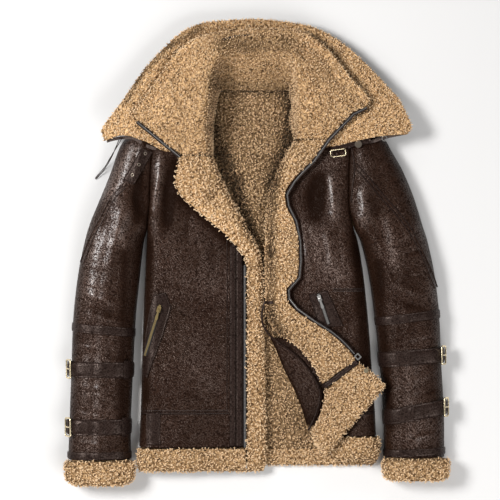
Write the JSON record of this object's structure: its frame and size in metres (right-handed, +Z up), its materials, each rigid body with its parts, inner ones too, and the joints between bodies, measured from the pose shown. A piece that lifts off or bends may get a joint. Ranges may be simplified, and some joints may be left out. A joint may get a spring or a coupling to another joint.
{
  "type": "shearling coat",
  "caption": "Short leather coat lined with curly wool, laid out open: double collar, zip front, buckled sleeve straps, wool hem and cuffs.",
  "frame": {"origin": "on the surface that the coat lies on, under the middle of its box", "axes": "+Z up from the surface, +Y from the hem to the collar, +X to the viewer's right, which is the wearer's left side"},
  "size_m": [0.7362, 0.8896, 0.0823],
  "materials": {
    "leather_panel": "pebbled, glossy",
    "wool_pile": "curly pile, matt",
    "trim_leather": "smooth, satin",
    "zip_tape": "woven tape with metal teeth",
    "pale_brass": "polished, a little worn",
    "old_brass": "antique",
    "nickel": "satin",
    "dark_snap": "dark bronze"
  },
  "bodies": {
    "coat": {"front_right": "leather_panel", "front_left": "leather_panel", "waistband_right": "leather_panel", "waistband_left": "leather_panel", "sleeve_top_right": "leather_panel", "sleeve_top_left": "leather_panel", "sleeve_under_right": "leather_panel", "sleeve_under_left": "leather_panel", "front_left_turn": "leather_panel", "back_yoke": "wool_pile", "back_body": "wool_pile", "hem_back": "wool_pile", "hem_right": "wool_pile", "hem_left": "wool_pile", "cuff_right": "wool_pile", "cuff_left": "wool_pile", "facing_right": "wool_pile", "facing_left": "wool_pile", "hem_corner_left": "wool_pile", "collar_outer": "wool_pile", "collar_inner": "wool_pile", "elbow_band_right": "trim_leather", "elbow_band_left": "trim_leather", "cuff_strip_right": "trim_leather", "cuff_strip_left": "trim_leather", "upper_strap_right": "trim_leather", "lower_strap_right": "trim_leather", "upper_strap_left": "trim_leather", "lower_strap_left": "trim_leather", "upper_keeper_right": "trim_leather", "lower_keeper_right": "trim_leather", "placket_strip_outer": "trim_leather", "placket_strip_inner": "trim_leather", "waist_tab_right": "trim_leather", "pocket_frame_right": "trim_leather", "pocket_frame_left": "trim_leather", "eyelet_tab_right": "trim_leather", "throat_strap_left": "trim_leather", "corner_strap_left": "trim_leather", "fold_tab_left": "trim_leather", "collar_thong_right": "trim_leather", "zip_tape_right": "zip_tape", "zip_tape_left": "zip_tape", "zip_tape_collar_right": "zip_tape", "upper_buckle_right": "pale_brass", "lower_buckle_right": "pale_brass", "upper_buckle_left": "pale_brass", "lower_buckle_left": "pale_brass", "throat_buckle_left": "pale_brass", "throat_ring_left": "pale_brass", "pocket_zip_right": "old_brass", "pocket_slider_right": "old_brass", "pocket_zip_left": "nickel", "pocket_slider_left": "nickel", "zip_retainer_left": "nickel", "throat_snap_left": "dark_snap", "corner_snap_left": "dark_snap"},
    "pull_right": {"pocket_pull_right": "old_brass"},
    "pull_left": {"pocket_pull_left": "nickel"}
  },
  "joints": [
    {"name": "pocket_pull_right_swing", "type": "hinge", "parent": "coat", "child": "pull_right", "pos_m": [-0.1864, -0.10747, 0.05328], "axis": [-0.9645, 0.264, 0.0074], "range_deg": [0, 150]},
    {"name": "pocket_pull_left_swing", "type": "hinge", "parent": "coat", "child": "pull_left", "pos_m": [0.11803, -0.08641, 0.04761], "axis": [-0.9377, -0.3181, -0.1399], "range_deg": [0, 150]}
  ]
}
